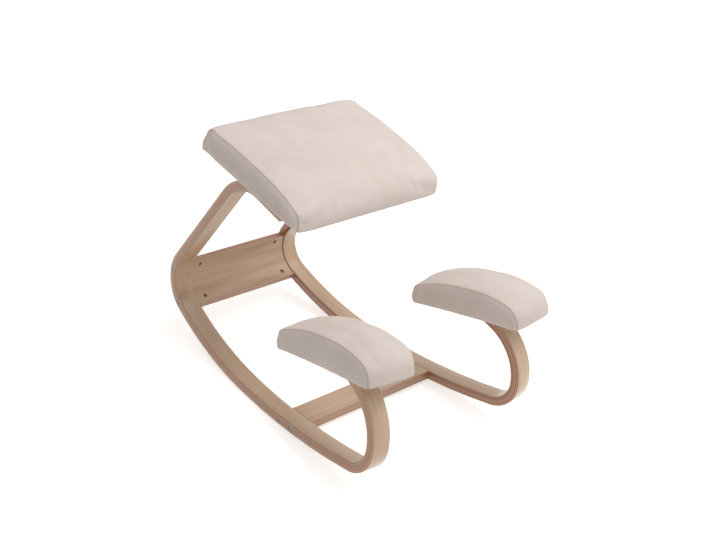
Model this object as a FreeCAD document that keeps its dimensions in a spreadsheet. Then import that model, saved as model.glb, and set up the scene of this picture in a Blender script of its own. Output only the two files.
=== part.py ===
import FreeCAD, Part
import math
import os
import Sketcher

# A rocking kneeling chair: two bent laminated runners carry a seat at the rear and a knee pad each at the
# front. A curved plate joins the runners in their rear bend and a flat bar joins them at the front.
# Millimetres and degrees. X is sideways, the chair faces -Y, Z is up. The chair stands in balance, and the
# origin is under the middle of its overall box, on the floor.

SIZES = {
    # Runner: section and the bends of its centreline, from the seat round the rear to the knee pad
    "runner_width": 42.0,
    "runner_thickness": 21.6,
    "runner_edge_radius": 2.0,
    "runner_spacing": 372.7,
    "runner_splay": 4.62,
    "runner_lean": 1.52,
    "seat_rail_length": 81.0,
    "seat_bend_radius": 103.7,
    "seat_bend_turn": 67.0,
    "back_straight_length": 260.4,
    "rear_bend_radius": 72.7,
    "rear_bend_turn": 97.5,
    "heel_radius": 657.0,
    "heel_turn": 22.1,
    "rocker_radius": 1365.0,
    "rocker_rear_turn": 1.26,
    "rocker_front_turn": 14.01,
    "curl_radius": 64.4,
    "curl_turn": 80.6,
    "pad_bend_radius": 125.3,
    "pad_bend_turn": 99.4,
    "pad_rail_length": 62.0,
    # Cross members
    "plate_thickness": 15.0,
    "plate_start_turn": 16.0,
    "plate_arc": 92.0,
    "bar_width": 61.0,
    "bar_thickness": 21.6,
    "cross_edge_radius": 1.5,
    "bar_turn": 5.68,
    "joint_gap": 0.1,
    # Connector bolts through the runners into barrel nuts in the cross members
    "rear_bolt_first_turn": 26.0,
    "rear_bolt_spacing_turn": 66.0,
    "front_bolt_spacing": 37.0,
    "bolt_diameter": 6.0,
    "bolt_clearance": 0.6,
    "thread_clearance": 0.4,
    "head_diameter": 12.4,
    "head_height": 3.2,
    "head_rim_height": 1.8,
    "head_top_diameter": 10.4,
    "head_recess": 3.6,
    "head_clearance": 0.4,
    "socket_across": 4.6,
    "socket_depth": 2.0,
    "nut_setback": 26.0,
    "nut_diameter": 9.6,
    "nut_length": 9.0,
    "nut_clearance": 0.2,
    "nut_hole_past_nut": 1.0,
    "bolt_past_nut": 6.0,
    "bore_past_bolt": 2.0,
    # Seat: reaches of the ridge, brow and tip are counted from its front, the others from its rear
    "seat_past_runners": 40.3,
    "seat_length": 310.0,
    "seat_behind_bend": 171.1,
    "seat_crown": 4.0,
    "seat_heel_drop": 7.4,
    "seat_heel_flat": 6.0,
    "seat_side_bulge": 5.0,
    "seat_waist_reach": 0.5,
    "seat_waist_height": 27.6,
    "seat_shoulder_bulge": 9.0,
    "seat_shoulder_reach": 35.0,
    "seat_shoulder_height": 49.6,
    "seat_top_bulge": 2.5,
    "seat_ridge_reach": 110.0,
    "seat_ridge_height": 48.6,
    "seat_slope_bulge": 3.0,
    "seat_brow_reach": 19.0,
    "seat_brow_height": 30.6,
    "seat_nose_bulge": 3.0,
    "seat_tip_reach": 6.0,
    "seat_tip_height": 14.6,
    "seat_toe_drop": 7.4,
    "seat_toe_flat": 6.0,
    "seat_board_thickness": 12.0,
    "seat_board_bolt_first": 12.0,
    "seat_board_bolt_spacing": 52.0,
    # Knee pads, counted in the same way
    "pad_width": 126.0,
    "pad_length": 271.0,
    "pad_behind_bend": 114.0,
    "pad_crown": 3.0,
    "pad_heel_drop": 5.0,
    "pad_heel_flat": 40.0,
    "pad_side_bulge": 3.0,
    "pad_waist_reach": 2.0,
    "pad_waist_height": 16.0,
    "pad_shoulder_bulge": 3.0,
    "pad_shoulder_reach": 20.0,
    "pad_shoulder_height": 31.5,
    "pad_top_bulge": 6.5,
    "pad_ridge_reach": 131.0,
    "pad_ridge_height": 56.0,
    "pad_slope_bulge": 5.0,
    "pad_brow_reach": 33.0,
    "pad_brow_height": 44.5,
    "pad_nose_bulge": 6.0,
    "pad_tip_reach": 5.0,
    "pad_tip_height": 17.0,
    "pad_toe_drop": 4.0,
    "pad_toe_flat": 20.0,
    "pad_board_thickness": 12.0,
    "pad_board_bolt_first": 16.0,
    "pad_board_bolt_spacing": 34.0,
    # Upholstery
    "side_draw_in": 4.0,
    "side_round": 9.0,
    "cover_thickness": 1.2,
    "foam_gap": 0.2,
    "board_inset": 10.0,
    "board_corner_radius": 16.0,
    "cloth_thickness": 0.6,
    "cloth_inset": 8.0,
    "cloth_lap": 12.0,
    # Board fasteners: bolts and washers from below, tee nuts from above
    "washer_diameter": 14.0,
    "washer_thickness": 1.2,
    "tee_flange_diameter": 19.0,
    "tee_flange_thickness": 1.4,
    "tee_barrel_diameter": 8.0,
    "tee_barrel_length": 9.0,
    "tee_recess_clearance": 0.5,
    "bolt_shy_of_board": 1.0,
}
SIZES["seat_width"] = SIZES["runner_spacing"] + SIZES["seat_past_runners"]

document = FreeCAD.newDocument("kneeling_chair")
sheet = document.addObject("Spreadsheet::Sheet", "sizes")
for row, (alias, number) in enumerate(SIZES.items(), start=1):
    sheet.set("A%d" % row, alias)
    sheet.set("B%d" % row, str(number))
    sheet.setAlias("B%d" % row, alias)
document.recompute()


def size(alias):
    return float(sheet.get(alias))


X_AXIS = FreeCAD.Vector(1, 0, 0)
Y_AXIS = FreeCAD.Vector(0, 1, 0)
Z_AXIS = FreeCAD.Vector(0, 0, 1)
TINY = 1e-4
nodes = []


def finish(item, label):
    """Name a sub-part; its label is the name of its file."""
    item.Label = label
    nodes.append(item)
    return item


def placed(point, rotation=None):
    return FreeCAD.Placement(point, rotation or FreeCAD.Rotation())


def along(point, direction):
    """Placement whose local Z runs along a direction."""
    return FreeCAD.Placement(point, FreeCAD.Rotation(Z_AXIS, direction))


def cylinder(name, diameter, height, placement):
    item = document.addObject("Part::Cylinder", name)
    item.setExpression("Radius", "(%s) / 2" % diameter)
    item.setExpression("Height", height)
    item.Placement = placement
    return item


def group(name, members):
    item = document.addObject("Part::Compound", name)
    item.Links = members
    return item


def cut(name, base, tool):
    item = document.addObject("Part::Cut", name)
    item.Base = base
    item.Tool = tool
    return item


def copies(name, master, placements):
    """Separate solids of one master shape, one for each placement."""
    document.recompute()
    item = document.addObject("Part::Feature", name)
    item.Shape = Part.makeCompound([master.Shape.copy().transformed(p.toMatrix()) for p in placements])
    return item


def origin_plane(body, role):
    return next(f for f in body.Origin.OriginFeatures if f.Role == role)


def sketch_on(body, role, name, offset=0.0):
    sketch = body.newObject("Sketcher::SketchObject", name)
    sketch.AttachmentSupport = [(origin_plane(body, role), "")]
    sketch.MapMode = "FlatFace"
    sketch.AttachmentOffset = placed(FreeCAD.Vector(0, 0, offset))
    return sketch


def close_loop(sketch, count):
    """Join each edge of a sketch to the next, which starts where it ends."""
    for index in range(count):
        sketch.addConstraint(Sketcher.Constraint("Coincident", index, 2, (index + 1) % count, 1))


# Runner path. A stretch starts at a point with a heading and turns left by an angle on a radius, or runs
# straight. The path is walked forward from the floor contact to the knee pad, and backward, mirrored, to
# the seat. In the runner's own plane u is forward and v is up; the contact is at u = v = 0.

def heading_vector(degrees):
    return FreeCAD.Vector(math.cos(math.radians(degrees)), math.sin(math.radians(degrees)), 0)


def walk(stretches):
    point = FreeCAD.Vector(0, size("runner_thickness") / 2, 0)
    heading = 0.0
    path = []
    for radius, turn, length in stretches:
        if turn:
            centre = point + heading_vector(heading + 90) * radius
            after = centre + heading_vector(heading + turn - 90) * radius
        else:
            centre = None
            after = point + heading_vector(heading) * length
        path.append({"centre": centre, "radius": radius, "start": point, "end": after,
                     "heading": heading, "turn": turn})
        point = after
        heading += turn
    return path


def mirrored(vector):
    return FreeCAD.Vector(-vector.x, vector.y, 0)


front_path = walk([
    (size("rocker_radius"), size("rocker_front_turn"), 0),
    (size("curl_radius"), size("curl_turn"), 0),
    (size("pad_bend_radius"), size("pad_bend_turn"), 0),
    (0, 0, size("pad_rail_length")),
])
rear_path = walk([
    (size("rocker_radius"), size("rocker_rear_turn"), 0),
    (size("heel_radius"), size("heel_turn"), 0),
    (size("rear_bend_radius"), size("rear_bend_turn"), 0),
    (0, 0, size("back_straight_length")),
    (size("seat_bend_radius"), size("seat_bend_turn"), 0),
    (0, 0, size("seat_rail_length")),
])
rear_bend = rear_path[2]
rear_bend_centre = mirrored(rear_bend["centre"])
seat_rail = rear_path[-1]
pad_rail = front_path[-1]


def side_edges(path, offset):
    """Lines and arcs at an offset to the right of a path walked forward."""
    edges = []
    for stretch in path:
        if stretch["centre"] is None:
            side = heading_vector(stretch["heading"] - 90) * offset
            edges.append(Part.LineSegment(stretch["start"] + side, stretch["end"] + side))
        else:
            circle = Part.Circle(stretch["centre"], Z_AXIS, stretch["radius"] + offset)
            first = math.radians(stretch["heading"] - 90)
            edges.append(Part.ArcOfCircle(circle, first, first + math.radians(stretch["turn"])))
    return edges


def mirror_edge(edge):
    """The same edge on the rear side, walked the other way round."""
    if isinstance(edge, Part.LineSegment):
        return Part.LineSegment(mirrored(edge.EndPoint), mirrored(edge.StartPoint))
    circle = Part.Circle(mirrored(edge.Center), Z_AXIS, edge.Radius)
    return Part.ArcOfCircle(circle, math.pi - edge.LastParameter, math.pi - edge.FirstParameter)


# The radii of the runner's stretches from the seat's end to the knee pad's end; straight ones have none.
STRETCH_RADII = [None, "seat_bend_radius", None, "rear_bend_radius", "heel_radius", "rocker_radius",
                 "rocker_radius", "curl_radius", "pad_bend_radius", None]


def runner_face(offset):
    """One face of the runner, seen from the side, from the seat's end to the knee pad's end."""
    behind = [mirror_edge(edge) for edge in reversed(side_edges(rear_path, offset))]
    return behind + side_edges(front_path, offset)


def runner_blank(name):
    """One bent lamination, padded evenly to both sides of its middle plane."""
    body = document.addObject("PartDesign::Body", name)
    outline = sketch_on(body, "XY_Plane", name + "_outline")
    half = size("runner_thickness") / 2
    outer = runner_face(half)
    inner = runner_face(-half)
    front_end = Part.LineSegment(outer[-1].EndPoint, inner[-1].EndPoint)
    seat_end = Part.LineSegment(inner[0].StartPoint, outer[0].StartPoint)
    lines = outer + [front_end] + inner[::-1] + [seat_end]
    outline.addGeometry(lines, False)
    count = len(outer)
    for index, alias in enumerate(STRETCH_RADII):
        if alias is None:
            continue
        for edge, sign in ((index, "+"), (2 * count - index, "-")):
            constraint = outline.addConstraint(Sketcher.Constraint("Radius", edge, lines[edge].Radius))
            outline.setExpression("Constraints[%d]" % constraint,
                                  "sizes.%s %s sizes.runner_thickness / 2" % (alias, sign))
    pad = body.newObject("PartDesign::Pad", name + "_pad")
    pad.Profile = outline
    pad.Midplane = True
    pad.setExpression("Length", "sizes.runner_width")
    document.recompute()
    side = size("runner_width") / 2
    long_edges = ["Edge%d" % index for index, edge in enumerate(pad.Shape.Edges, start=1)
                  if abs(abs(edge.CenterOfMass.z) - side) < TINY and abs(edge.Length - 2 * half) > TINY]
    fillet = body.newObject("PartDesign::Fillet", name + "_rounding")
    fillet.Base = (pad, long_edges)
    fillet.setExpression("Radius", "sizes.runner_edge_radius")
    document.recompute()
    return body


def runner_placement(sign):
    """Runner plane in the chair: splayed towards the front, and leaning in towards the seat."""
    splay = math.tan(math.radians(size("runner_splay")))
    lean = math.tan(math.radians(size("runner_lean")))
    outward = FreeCAD.Vector(sign, splay, lean).normalize()
    forward = FreeCAD.Vector(sign * splay, -1, 0).normalize()
    local_z = outward * -sign
    upward = local_z.cross(forward)
    rotation = FreeCAD.Rotation(forward, upward, local_z, "ZXY")
    return FreeCAD.Placement(FreeCAD.Vector(sign * size("runner_spacing") / 2, 0, 0), rotation)


SIDES = {"left": 1, "right": -1}
runner_frame = {side: runner_placement(sign) for side, sign in SIDES.items()}


def outer_face(side):
    """Height of the runner's outer face above its middle plane, along the local Z."""
    return -SIDES[side] * size("runner_width") / 2


def rear_angle(turn):
    """Direction of a place on the rear bend seen from its centre, counted down from its upper end."""
    return 270 - rear_bend["heading"] - size("rear_bend_turn") + turn


def rear_bolt_points():
    points = []
    for step in range(2):
        turn = size("rear_bolt_first_turn") + step * size("rear_bolt_spacing_turn")
        points.append(rear_bend_centre + heading_vector(rear_angle(turn)) * size("rear_bend_radius"))
    return points


def front_bolt_points():
    step = heading_vector(size("bar_turn")) * size("front_bolt_spacing") / 2
    return [bar_middle - step, bar_middle + step]


bar_middle = front_path[0]["centre"] + heading_vector(size("bar_turn") - 90) * size("rocker_radius")
rear_points = rear_bolt_points()
front_points = front_bolt_points()


def rail_holes(rail, first, spacing):
    """Bolt places on a straight rail: distance from its bend, on the centreline."""
    step = heading_vector(rail["heading"])
    return [rail["start"] + step * (size(first) + number * size(spacing)) for number in range(2)]


seat_points = [mirrored(p) for p in rail_holes(seat_rail, "seat_board_bolt_first", "seat_board_bolt_spacing")]
pad_points = rail_holes(pad_rail, "pad_board_bolt_first", "pad_board_bolt_spacing")
seat_up = mirrored(heading_vector(seat_rail["heading"] - 90))
pad_up = heading_vector(pad_rail["heading"] - 90)


def connector_frame(side, point):
    """Bolt frame in the runner: at the bottom of the head's recess, running inward."""
    inward = FreeCAD.Vector(0, 0, SIDES[side])
    base = FreeCAD.Vector(point.x, point.y, outer_face(side)) + inward * size("head_recess")
    return along(base, inward)


def runner(side):
    blank = runner_blank("runner_blank_" + side)
    tools = []
    for number, point in enumerate(rear_points + front_points):
        frame = connector_frame(side, point)
        back = frame.multiply(placed(FreeCAD.Vector(0, 0, -size("head_recess") - 1)))
        tools.append(cylinder("recess_%s_%d" % (side, number), "sizes.head_diameter + sizes.head_clearance",
                              "sizes.head_recess + 1", back))
        tools.append(cylinder("bore_%s_%d" % (side, number), "sizes.bolt_diameter + sizes.bolt_clearance",
                              "sizes.runner_width", frame))
    rails = [(point, seat_up) for point in seat_points] + [(point, pad_up) for point in pad_points]
    for number, (point, direction) in enumerate(rails):
        start = point - direction * size("runner_thickness")
        tools.append(cylinder("rail_bore_%s_%d" % (side, number),
                              "sizes.bolt_diameter + sizes.bolt_clearance",
                              "2 * sizes.runner_thickness", along(start, direction)))
    item = cut("runner_" + side, blank, group("runner_bores_" + side, tools))
    item.Placement = runner_frame[side]
    return finish(item, "runner_" + side)


for side_name in SIDES:
    runner(side_name)


# Cross members. Each is a blank along X, trimmed by the inner faces of both runners.

def inner_block(side):
    """A block that fills the space on the inside of a runner's inner face."""
    span = 2 * (size("runner_spacing") + size("back_straight_length") + size("rocker_radius"))
    block = document.addObject("Part::Box", "inside_of_" + side)
    block.Length = span
    block.Width = span
    block.Height = span
    inset = size("runner_width") / 2 + size("joint_gap")
    low = inset if SIDES[side] > 0 else -inset - span
    block.Placement = runner_frame[side].multiply(placed(FreeCAD.Vector(-span / 2, -span / 2, low)))
    return block


inner_blocks = [inner_block(side_name) for side_name in SIDES]


def inner_point(side, point):
    """Chair position of a place in the runner's plane, taken on the runner's inner face."""
    return runner_frame[side].multVec(FreeCAD.Vector(point.x, point.y, -outer_face(side)))


def square_frame(point, heading):
    """Frame square to the chair at a place in the runner's plane: X along a heading, Y up from it."""
    place = inner_point("left", point)
    ahead = heading_vector(heading)
    above = heading_vector(heading + 90)
    rotation = FreeCAD.Rotation(FreeCAD.Vector(0, -ahead.x, ahead.y), FreeCAD.Vector(0, -above.x, above.y),
                                FreeCAD.Vector(-1, 0, 0), "ZXY")
    return FreeCAD.Placement(FreeCAD.Vector(0, place.y, place.z), rotation)


plate_frame = square_frame(rear_bend_centre, 0)
bar_frame = square_frame(bar_middle, size("bar_turn"))


def rounded_pad(body, outline, name):
    """A blank longer than the space between the runners, with its long edges rounded."""
    pad = body.newObject("PartDesign::Pad", name + "_pad")
    pad.Profile = outline
    pad.Midplane = True
    pad.setExpression("Length", "sizes.runner_spacing * 1.5")
    document.recompute()
    long_edges = ["Edge%d" % index for index, edge in enumerate(pad.Shape.Edges, start=1)
                  if abs(edge.Vertexes[0].Z - edge.Vertexes[-1].Z) > size("runner_spacing")]
    fillet = body.newObject("PartDesign::Fillet", name + "_rounding")
    fillet.Base = (pad, long_edges)
    fillet.setExpression("Radius", "sizes.cross_edge_radius")
    return body


def plate_blank():
    """Curved plate round the centre of the rear bend."""
    body = document.addObject("PartDesign::Body", "rear_plate_blank")
    sketch = sketch_on(body, "XY_Plane", "rear_plate_section")
    outer = size("rear_bend_radius") + size("plate_thickness") / 2
    inner = size("rear_bend_radius") - size("plate_thickness") / 2
    first = math.radians(rear_angle(size("plate_start_turn")))
    last = first + math.radians(size("plate_arc"))
    centre = FreeCAD.Vector(0, 0, 0)
    big = Part.ArcOfCircle(Part.Circle(centre, Z_AXIS, outer), first, last)
    small = Part.ArcOfCircle(Part.Circle(centre, Z_AXIS, inner), first, last)
    sketch.addGeometry([big, Part.LineSegment(big.EndPoint, small.EndPoint), small,
                        Part.LineSegment(small.StartPoint, big.StartPoint)], False)
    for edge, radius, sign in ((0, outer, "+"), (2, inner, "-")):
        constraint = sketch.addConstraint(Sketcher.Constraint("Radius", edge, radius))
        sketch.setExpression("Constraints[%d]" % constraint,
                             "sizes.rear_bend_radius %s sizes.plate_thickness / 2" % sign)
    rounded_pad(body, sketch, "rear_plate")
    body.Placement = plate_frame
    return body


def bar_blank():
    """Flat bar that lies along the rocker."""
    body = document.addObject("PartDesign::Body", "front_bar_blank")
    sketch = sketch_on(body, "XY_Plane", "front_bar_section")
    rectangle(sketch, "bar_width", "bar_thickness")
    rounded_pad(body, sketch, "front_bar")
    body.Placement = bar_frame
    return body


def rectangle(sketch, width, height):
    """A rectangle round the sketch's origin, held by two sizes of the sheet."""
    half_width = size(width) / 2
    half_height = size(height) / 2
    corners = [FreeCAD.Vector(x * half_width, y * half_height, 0)
               for x, y in ((-1, -1), (1, -1), (1, 1), (-1, 1))]
    sides = [Part.LineSegment(corners[index], corners[(index + 1) % 4]) for index in range(4)]
    sketch.addGeometry(sides, False)
    close_loop(sketch, 4)
    for side in range(4):
        sketch.addConstraint(Sketcher.Constraint("Vertical" if side % 2 else "Horizontal", side))
    sketch.addConstraint(Sketcher.Constraint("Symmetric", 0, 1, 2, 1, -1, 1))
    across = sketch.addConstraint(Sketcher.Constraint("DistanceX", 0, 1, 0, 2, 2 * half_width))
    upright = sketch.addConstraint(Sketcher.Constraint("DistanceY", 1, 1, 1, 2, 2 * half_height))
    sketch.setExpression("Constraints[%d]" % across, "sizes." + width)
    sketch.setExpression("Constraints[%d]" % upright, "sizes." + height)


# Connector bolts run from the outer face of a runner into a barrel nut in the cross member.

def nut_frame(side, point, radial):
    """Barrel nut on its bolt: X along the bolt, Z as near as it can be to the member's own thickness."""
    bolt = runner_frame[side].multiply(connector_frame(side, point))
    reach = (size("runner_width") - size("head_recess") + size("joint_gap") + size("nut_setback"))
    inward = bolt.Rotation.multVec(Z_AXIS)
    across = (radial - inward * radial.dot(inward)).normalize()
    rotation = FreeCAD.Rotation(inward, across.cross(inward), across, "XZY")
    return FreeCAD.Placement(bolt.multVec(FreeCAD.Vector(0, 0, reach)), rotation)


def nut_hole(name, frame, distance):
    """Hole for a barrel nut, from the face that its mouth is in, at a distance from the nut's middle."""
    across = frame.Rotation.multVec(Z_AXIS)
    start = frame.Base - across * (distance + 1)
    length = "%.4f + sizes.nut_length / 2 + sizes.nut_hole_past_nut" % (distance + 1)
    return cylinder(name, "sizes.nut_diameter + sizes.nut_clearance", length, along(start, across))


def plate_mouth(local):
    """Direction away from the plate's hollow front face, and a nut's distance from that face."""
    radial = FreeCAD.Vector(local.x, local.y, 0)
    distance = radial.Length - (size("rear_bend_radius") - size("plate_thickness") / 2)
    return radial.normalize(), distance


def bar_mouth(local):
    """Direction away from the bar's underside, and a nut's distance from it."""
    return Y_AXIS, local.y + size("bar_thickness") / 2


REACH_TO_NUT = "sizes.runner_width - sizes.head_recess + sizes.joint_gap + sizes.nut_setback"


def cross_member(label, blank, frame, points, mouth):
    """A blank trimmed by both runners, with its bolt bores and nut holes; returns its nuts' frames."""
    trimmed = document.addObject("Part::MultiCommon", label + "_trimmed")
    trimmed.Shapes = [blank] + inner_blocks
    tools = []
    frames = []
    for side in SIDES:
        for number, point in enumerate(points):
            name = "%s_%s_%d" % (label, side, number)
            away = mouth(frame.inverse().multVec(inner_point(side, point)))[0]
            nut = nut_frame(side, point, frame.Rotation.multVec(away))
            distance = mouth(frame.inverse().multVec(nut.Base))[1]
            frames.append(nut)
            tools.append(nut_hole(name + "_nut_hole", nut, distance))
            tools.append(cylinder(name + "_bore", "sizes.bolt_diameter + sizes.bolt_clearance",
                                  REACH_TO_NUT + " + sizes.bolt_past_nut + sizes.bore_past_bolt",
                                  runner_frame[side].multiply(connector_frame(side, point))))
    finish(cut(label, trimmed, group(label + "_bores", tools)), label)
    return frames


rear_nuts = cross_member("rear_cross_plate", plate_blank(), plate_frame, rear_points, plate_mouth)
front_nuts = cross_member("front_cross_bar", bar_blank(), bar_frame, front_points, bar_mouth)


def bolt_master(name, length):
    """Button-headed bolt with a hexagon socket; its bearing face is at Z = 0 and its shank runs up."""
    shank = cylinder(name + "_shank", "sizes.bolt_diameter", length, placed(FreeCAD.Vector(0, 0, 0)))
    rim = cylinder(name + "_rim", "sizes.head_diameter", "sizes.head_rim_height", FreeCAD.Placement())
    rim.setExpression("Placement.Base.z", "-sizes.head_rim_height")
    dome = document.addObject("Part::Cone", name + "_dome")
    dome.setExpression("Radius1", "sizes.head_top_diameter / 2")
    dome.setExpression("Radius2", "sizes.head_diameter / 2")
    dome.setExpression("Height", "sizes.head_height - sizes.head_rim_height")
    dome.setExpression("Placement.Base.z", "-sizes.head_height")
    solid = document.addObject("Part::MultiFuse", name + "_solid")
    solid.Shapes = [shank, rim, dome]
    socket = document.addObject("Part::Prism", name + "_socket")
    socket.Polygon = 6
    socket.setExpression("Circumradius", "sizes.socket_across / 2")
    socket.setExpression("Height", "sizes.socket_depth + 1")
    socket.setExpression("Placement.Base.z", "-sizes.head_height - 1")
    return cut(name, solid, socket)


def barrel_nut_master():
    """Barrel nut along Z round its middle, bored along X for the bolt."""
    barrel = cylinder("barrel_nut_body", "sizes.nut_diameter", "sizes.nut_length", FreeCAD.Placement())
    barrel.setExpression("Placement.Base.z", "-sizes.nut_length / 2")
    bore = cylinder("barrel_nut_bore", "sizes.bolt_diameter + sizes.thread_clearance",
                    "2 * sizes.nut_diameter", FreeCAD.Placement())
    bore.Placement = along(FreeCAD.Vector(-size("nut_diameter"), 0, 0), X_AXIS)
    return cut("barrel_nut_master", barrel, bore)


connector_bolt = bolt_master("connector_bolt_master", REACH_TO_NUT + " + sizes.bolt_past_nut")
barrel_nut = barrel_nut_master()
for end, points, nut_frames in (("rear", rear_points, rear_nuts), ("front", front_points, front_nuts)):
    bolt_frames = [runner_frame[side].multiply(connector_frame(side, point))
                   for side in SIDES for point in points]
    finish(copies(end + "_connector_bolts", connector_bolt, bolt_frames), end + "_connector_bolts")
    finish(copies(end + "_barrel_nuts", barrel_nut, nut_frames), end + "_barrel_nuts")


# Upholstery. A cushion's frame lies on the middle of its underside: X sideways, Y to the rear, Z up.

def seat_placement():
    """The seat lies on the highest edge of the two seat rails."""
    slope = FreeCAD.Rotation(X_AXIS, seat_rail["heading"] - 180)
    rearward = slope.multVec(FreeCAD.Vector(0, 1, 0))
    upward = slope.multVec(Z_AXIS)
    top = []
    for end in ("start", "end"):
        point = mirrored(seat_rail[end]) + seat_up * size("runner_thickness") / 2
        for face in (-0.5, 0.5):
            place = FreeCAD.Vector(point.x, point.y, face * size("runner_width"))
            top.append(runner_frame["left"].multVec(place))
    height = max(point.dot(upward) for point in top) + size("cloth_thickness")
    middle = top[0].dot(rearward) + size("seat_behind_bend") - size("seat_length") / 2
    return FreeCAD.Placement(rearward * middle + upward * height, slope)


def pad_placement(side):
    """A knee pad lies square on its runner's pad rail."""
    ahead = heading_vector(pad_rail["heading"])
    middle = size("pad_behind_bend") - size("pad_length") / 2
    lift = size("runner_thickness") / 2 + size("cloth_thickness")
    point = pad_rail["start"] + ahead * middle + pad_up * lift
    rotation = FreeCAD.Rotation(Z_AXIS * -1, ahead, pad_up, "YZX")
    return runner_frame[side].multiply(FreeCAD.Placement(point, rotation))


def bulged(start, stop, bulge):
    """An arc between two points whose middle stands out to the right of the way by a bulge."""
    chord = stop - start
    out = FreeCAD.Vector(chord.y, -chord.x, 0).normalize() * bulge
    return Part.ArcOfCircle(start, (start + stop) / 2 + out, stop)


def cushion_outline(kind, wall, inset, rise):
    """Side outline of a cushion as lines and arcs, in the plane of Y (to the rear) and Z.

    The wall is how far the form lies inside the cover's outside. The inset draws the ends and the top in
    at a side, and the rise lifts the top in the middle."""
    length = size(kind + "_length")
    height = size(kind + "_ridge_height")
    stretch = (length - 2 * wall - 2 * inset) / length
    lift = (height - 2 * wall - inset + rise) / height

    def place(from_rear, up):
        return FreeCAD.Vector((length / 2 - from_rear) * stretch, wall + up * (lift if up > 0 else 1), 0)

    def from_front(name):
        return length - size(kind + name)

    heel = place(0, -size(kind + "_heel_drop"))
    waist = place(size(kind + "_waist_reach"), size(kind + "_waist_height"))
    shoulder = place(size(kind + "_shoulder_reach"), size(kind + "_shoulder_height"))
    ridge = place(from_front("_ridge_reach"), height)
    brow = place(from_front("_brow_reach"), size(kind + "_brow_height"))
    tip = place(from_front("_tip_reach"), size(kind + "_tip_height"))
    toe = place(length, -size(kind + "_toe_drop"))
    flat_front = place(from_front("_toe_flat"), 0)
    flat_rear = place(size(kind + "_heel_flat"), 0)
    return [
        bulged(heel, waist, size(kind + "_side_bulge")),
        bulged(waist, shoulder, size(kind + "_shoulder_bulge")),
        bulged(shoulder, ridge, size(kind + "_top_bulge")),
        bulged(ridge, brow, size(kind + "_slope_bulge")),
        bulged(brow, tip, size(kind + "_nose_bulge")),
        Part.LineSegment(tip, toe),
        Part.LineSegment(toe, flat_front),
        Part.LineSegment(flat_front, flat_rear),
        Part.LineSegment(flat_rear, heel),
    ]


SIDE_VIEW = FreeCAD.Rotation(Y_AXIS, Z_AXIS, X_AXIS, "ZXY")
CROWN_STEPS = 3


def stations(kind, wall):
    """Places across a cushion, each with how far its outline is drawn in and how far the crown lifts it."""
    half = size(kind + "_width") / 2 - wall
    rounding = size("side_round")
    draw = size("side_draw_in")
    crown = size(kind + "_crown")
    level = half - rounding
    right = [(half, draw, 0), (half - rounding / 3, draw / 4, 0), (level, 0, 0)]
    for step in range(1, CROWN_STEPS):
        share = 1 - step / CROWN_STEPS
        right.append((level * share, 0, crown * (1 - share ** 2)))
    return right + [(0, 0, crown)] + [(-across, inset, rise) for across, inset, rise in reversed(right)]


def cushion_form(name, kind, wall):
    """Crowned cushion with drawn-in sides: a loft through outlines from one side to the other."""
    sections = []
    for number, (across, inset, rise) in enumerate(stations(kind, wall)):
        sketch = document.addObject("Sketcher::SketchObject", "%s_section_%d" % (name, number))
        outline = cushion_outline(kind, wall, inset, rise)
        sketch.addGeometry(outline, False)
        sketch.Placement = FreeCAD.Placement(FreeCAD.Vector(across, 0, 0), SIDE_VIEW)
        sections.append(sketch)
    loft = document.addObject("Part::Loft", name)
    loft.Sections = sections
    loft.Solid = True
    loft.Ruled = True
    return loft


def flat_span(kind):
    """Middle and length, along Y, of the flat part of a cushion's underside, inside the cloth's inset."""
    rear = size(kind + "_length") / 2 - max(size(kind + "_heel_flat"), size("cloth_inset"))
    front = -size(kind + "_length") / 2 + max(size(kind + "_toe_flat"), size("cloth_inset"))
    return (rear + front) / 2, rear - front


def add_cell(alias, number):
    """A worked-out size goes to the sheet too, so that sketches can be held by it."""
    SIZES[alias] = number
    sheet.set("A%d" % len(SIZES), alias)
    sheet.set("B%d" % len(SIZES), str(number))
    sheet.setAlias("B%d" % len(SIZES), alias)


for kind_name in ("seat", "pad"):
    wide = size(kind_name + "_width")
    long = size(kind_name + "_length")
    add_cell(kind_name + "_board_width", wide - 2 * size("board_inset"))
    add_cell(kind_name + "_board_length", long - 2 * size("board_inset"))
    add_cell(kind_name + "_cloth_width", wide - 2 * size("cloth_inset"))
    add_cell(kind_name + "_cloth_length", flat_span(kind_name)[1])
document.recompute()


def rounded_board(name, width, length, thickness, middle, base):
    """Flat board with round corners; the sizes of its sketch are held by cells made for it."""
    body = document.addObject("PartDesign::Body", name)
    sketch = sketch_on(body, "XY_Plane", name + "_outline")
    rectangle(sketch, width, length)
    pad = body.newObject("PartDesign::Pad", name + "_pad")
    pad.Profile = sketch
    pad.setExpression("Length", "sizes." + thickness)
    document.recompute()
    corners = ["Edge%d" % index for index, edge in enumerate(pad.Shape.Edges, start=1)
               if abs(edge.Vertexes[0].Z - edge.Vertexes[-1].Z) > size(thickness) / 2]
    fillet = body.newObject("PartDesign::Fillet", name + "_corners")
    fillet.Base = (pad, corners)
    fillet.setExpression("Radius", "sizes.board_corner_radius")
    body.Placement = placed(FreeCAD.Vector(0, middle, base))
    return body


def bores(name, points, diameter, base, height):
    """Round cutters along Z at places on a cushion's underside."""
    return [cylinder("%s_%d" % (name, number), diameter, height,
                     placed(FreeCAD.Vector(point.x, point.y, base)))
            for number, point in enumerate(points)]


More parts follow.
